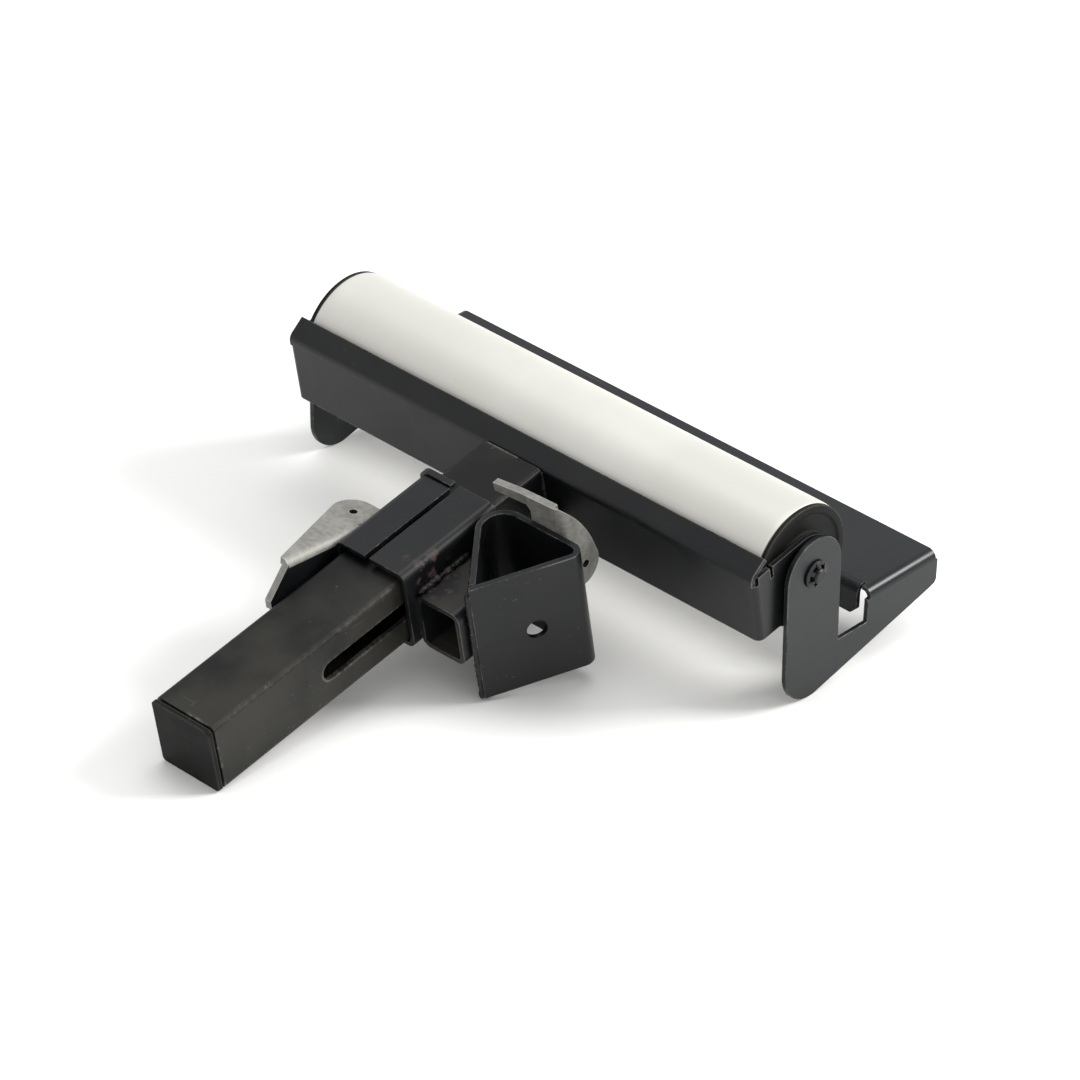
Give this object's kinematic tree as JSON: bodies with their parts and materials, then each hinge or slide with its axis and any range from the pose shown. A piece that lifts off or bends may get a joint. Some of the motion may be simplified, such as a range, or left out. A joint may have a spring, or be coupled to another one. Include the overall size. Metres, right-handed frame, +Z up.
{
  "type": "roller support head",
  "caption": "Free-running steel roller held between folded end brackets on a square bar, with a hinged foot bracket, a sliding sleeve, a corner bracket and a pivoting lever.",
  "frame": {"origin": "middle of the footprint's bounding box, on the floor it stands on", "axes": "+X along the roller, +Y from the bar's free end to the foot bracket's deck, +Z up"},
  "size_m": [0.2576, 0.2798, 0.081],
  "materials": {
    "black_paint": "satin black paint, scuffed at the edges",
    "roller_shell": "pale zinc-plated tube, satin",
    "black_plastic": "moulded black plastic",
    "dark_steel": "blackened spring steel",
    "bearing_steel": "ground bearing steel",
    "bare_plate": "bare cut plate, dull",
    "zinc_steel": "zinc-plated fastener"
  },
  "bodies": {
    "bar_head": {"front_bracket": "black_paint", "square_bar": "black_paint", "bar_plug": "black_plastic", "axle": "dark_steel", "lock_left": "dark_steel", "lock_right": "dark_steel", "washer_left": "dark_steel", "washer_right": "dark_steel", "race_left": "bearing_steel", "race_right": "bearing_steel", "spacer_left": "bearing_steel", "spacer_right": "bearing_steel"},
    "roller": {"roller_tube": "roller_shell", "cap_left": "black_plastic", "cap_right": "black_plastic", "bearing_left": "bearing_steel", "bearing_right": "bearing_steel"},
    "foot": {"rear_bracket": "black_paint"},
    "carriage": {"sleeve": "black_paint", "rear_strap": "black_paint", "spacer_tube": "black_paint", "corner_bracket": "black_paint", "catch_plate": "bare_plate", "guide_bolt": "zinc_steel", "guide_washer": "zinc_steel", "guide_nut": "zinc_steel", "lever_rivet": "zinc_steel", "lever_washer": "zinc_steel"},
    "lever": {"lever": "bare_plate"}
  },
  "joints": [
    {"name": "roller_spin", "type": "hinge", "parent": "bar_head", "child": "roller", "pos_m": [0, 0.06592, 0.056], "axis": [1, 0, 0], "continuous": true},
    {"name": "foot_hinge", "type": "hinge", "parent": "bar_head", "child": "foot", "pos_m": [0, 0.06592, 0.056], "axis": [1, 0, 0], "range_deg": [-60, 165]},
    {"name": "sleeve_slide", "type": "slide", "parent": "bar_head", "child": "carriage", "axis": [0, -0.9799, -0.1995], "range_m": [-0.005, 0.06]},
    {"name": "lever_pivot", "type": "hinge", "parent": "carriage", "child": "lever", "pos_m": [-0.02, -0.01934, 0.03864], "axis": [1, 0, 0], "range_deg": [-25, 15]}
  ]
}
